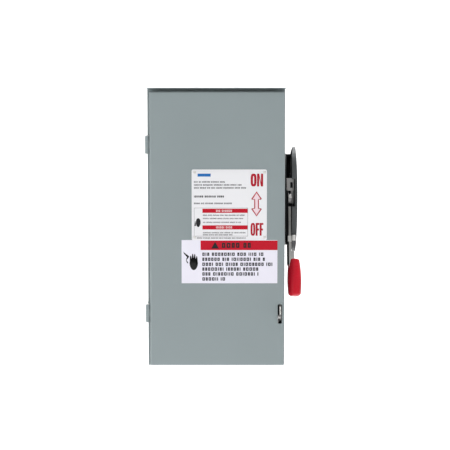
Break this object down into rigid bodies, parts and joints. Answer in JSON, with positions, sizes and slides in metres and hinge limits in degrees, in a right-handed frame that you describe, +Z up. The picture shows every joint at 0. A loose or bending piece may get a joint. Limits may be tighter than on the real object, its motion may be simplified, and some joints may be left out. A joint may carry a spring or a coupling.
{
  "type": "ac disconnect box",
  "caption": "Hooded outdoor safety switch box with a side-hinged door, a side lever with a red grip, and a fused rotary switch inside.",
  "frame": {"origin": "centre of the rectangle of four wall mounting holes, on the wall plane", "axes": "+Z up, the door faces -Y, the wall is the plane Y = 0, +X to the right seen from the front"},
  "size_m": [0.2651, 0.1785, 0.4729],
  "materials": {
    "enclosure_paint": "semi-gloss powder coat, light grey",
    "dark_steel": "dark grey satin enamel",
    "zinc_plate": "zinc plated",
    "black_paint": "black satin enamel",
    "gasket_foam": "black closed-cell foam",
    "bushing_plastic": "black nylon",
    "black_moulding": "black moulded insulation",
    "barrier_fibre": "dark laminated fibre",
    "copper": "bare copper, lightly tarnished",
    "tinned_lug": "tin plated aluminium",
    "arc_fibre": "red-brown vulcanised fibre",
    "fuse_tube": "cream melamine tube",
    "rotor_moulding": "dark red moulded insulation",
    "red_grip": "glossy red",
    "plate_white": "white printed plate",
    "label_white": "white vinyl",
    "clear_shield": "clear polycarbonate"
  },
  "bodies": {
    "root": {"enclosure_shell": "enclosure_paint", "rain_hood": "enclosure_paint", "hub_cover_plate": "enclosure_paint", "hub_cover_screws": "zinc_plate", "knockout_slugs": "enclosure_paint", "door_gasket": "gasket_foam", "body_hinge_leaves": "enclosure_paint", "hinge_pins": "zinc_plate", "padlock_hasp": "zinc_plate", "handle_base": "black_paint", "handle_base_screws": "zinc_plate", "handle_guard": "dark_steel", "guard_screws": "zinc_plate", "guard_bracket": "zinc_plate", "shaft_bushing": "bushing_plastic", "back_pan": "zinc_plate", "back_pan_screws": "zinc_plate", "switch_base": "black_moulding", "switch_base_screws": "zinc_plate", "phase_barriers": "barrier_fibre", "line_jaws": "copper", "load_jaws": "copper", "line_lugs": "tinned_lug", "load_lugs": "tinned_lug", "wire_screws": "zinc_plate", "arc_chutes": "arc_fibre", "fuse_block": "black_moulding", "fuse_clips": "copper", "fuse_tubes": "fuse_tube", "fuse_ferrules": "copper", "mechanism_frame": "zinc_plate", "neutral_bar": "tinned_lug", "neutral_insulators": "black_moulding", "ground_bar": "tinned_lug", "terminal_screws": "zinc_plate", "interlock_pin": "zinc_plate", "shield_brackets": "zinc_plate", "lock_eye": "zinc_plate"},
    "handle": {"handle_lever": "black_paint", "lever_stiffener": "zinc_plate", "handle_grip": "red_grip", "handle_shaft": "zinc_plate", "hub_nut": "zinc_plate", "drive_crank": "dark_steel", "drive_spring": "zinc_plate"},
    "lock_tab": {"lock_tab": "zinc_plate"},
    "rotor": {"rotor_bar": "rotor_moulding", "blades": "copper", "rotor_crank": "dark_steel"},
    "interlock": {"interlock_hook": "dark_steel"},
    "door": {"door_panel": "enclosure_paint", "door_hinge_leaves": "enclosure_paint", "nameplate": "plate_white", "nameplate_rivets": "zinc_plate", "warning_label": "label_white", "latch_guide": "dark_steel", "latch_spring": "zinc_plate", "door_keeper": "dark_steel"},
    "latch": {"door_latch": "zinc_plate"},
    "shield": {"line_shield": "clear_shield"}
  },
  "joints": [
    {"name": "door_hinge", "type": "hinge", "parent": "root", "child": "door", "pos_m": [-0.1159, -0.16, 0], "axis": [0, 0, -1], "range_deg": [0, 130]},
    {"name": "handle_pivot", "type": "hinge", "parent": "root", "child": "handle", "pos_m": [0, -0.085, 0.044], "axis": [-1, 0, 0], "range_deg": [0, 140]},
    {"name": "lock_tab_slide", "type": "slide", "parent": "handle", "child": "lock_tab", "axis": [0, -0.9397, 0.342], "range_m": [0, 0.007]},
    {"name": "rotor_turn", "type": "hinge", "parent": "root", "child": "rotor", "pos_m": [0, -0.085, 0.044], "axis": [-1, 0, 0], "range_deg": [0, 63]},
    {"name": "interlock_swing", "type": "hinge", "parent": "root", "child": "interlock", "pos_m": [0, -0.114, 0.101], "axis": [-1, 0, 0], "range_deg": [0, 28]},
    {"name": "latch_slide", "type": "slide", "parent": "door", "child": "latch", "axis": [0, 0, -1], "range_m": [0, 0.005], "stiffness_N_per_m": 200, "springref_m": -0.003},
    {"name": "shield_hinge", "type": "hinge", "parent": "root", "child": "shield", "pos_m": [0, -0.064, 0.142], "axis": [-1, 0, 0], "range_deg": [0, 90]}
  ],
  "couplings": [
    {"joint": "rotor_turn", "follows": "handle_pivot", "ratio": 0.45},
    {"joint": "interlock_swing", "follows": "handle_pivot", "ratio": 0.2}
  ]
}
